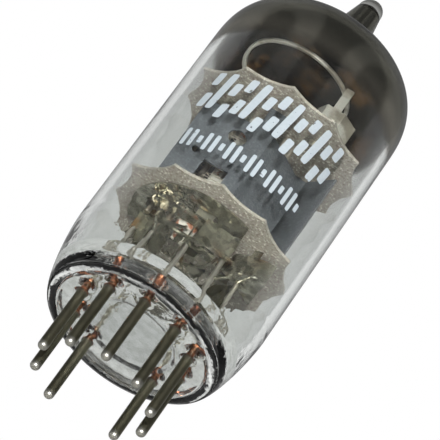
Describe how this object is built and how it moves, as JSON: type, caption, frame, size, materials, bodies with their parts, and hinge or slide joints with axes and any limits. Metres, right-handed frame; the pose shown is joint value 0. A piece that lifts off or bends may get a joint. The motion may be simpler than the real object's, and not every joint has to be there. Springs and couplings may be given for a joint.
{
  "type": "vacuum tube",
  "caption": "Miniature glass vacuum tube with pressed pin base, toothed mica spacers, two electrode sections, a getter ring and an exhaust tip.",
  "frame": {"origin": "on the tube's axis, in the plane of the pin tips", "axes": "+Z from the pin tips to the exhaust tip, +Y towards the gap in the pin circle"},
  "size_m": [0.0206, 0.0206, 0.0554],
  "materials": {
    "glass": "clear blown and pressed glass, getter flash inside the dome",
    "pin_metal": "nickel iron, dull grey, copper red where it is sealed in the glass",
    "mica": "split mica sheet, tan, speckled",
    "carbonised": "carbonised nickel-plated steel, slate grey, dull",
    "nickel": "bright rolled nickel, folded",
    "grid_wire": "drawn wire on nickel side rods",
    "cathode": "oxide-coated nickel sleeve, matte white",
    "heater": "alumina-coated wire, matte white"
  },
  "bodies": {
    "root": {"glass_bulb": "glass", "glass_base": "glass", "pin_1": "pin_metal", "pin_2": "pin_metal", "pin_3": "pin_metal", "pin_4": "pin_metal", "pin_5": "pin_metal", "pin_6": "pin_metal", "pin_7": "pin_metal", "pin_8": "pin_metal", "pin_9": "pin_metal", "lower_mica": "mica", "upper_mica": "mica", "pentode_anode": "carbonised", "triode_anode": "carbonised", "section_screen": "carbonised", "lower_skirt": "nickel", "lower_screen": "nickel", "getter_ring": "nickel", "getter_post": "nickel", "getter_clip": "nickel", "triode_anode_strap": "nickel", "control_grid_strap": "nickel", "screen_grid_strap": "nickel", "heater_strap_left": "nickel", "heater_strap_right": "nickel", "pentode_anode_strap": "nickel", "suppressor_strap": "nickel", "triode_cathode_strap": "nickel", "triode_grid_strap": "nickel", "pentode_control_grid": "grid_wire", "pentode_screen_grid": "grid_wire", "pentode_suppressor_grid": "grid_wire", "triode_grid": "grid_wire", "pentode_cathode": "cathode", "triode_cathode": "cathode", "pentode_heater": "heater", "triode_heater": "heater"}
  },
  "joints": []
}
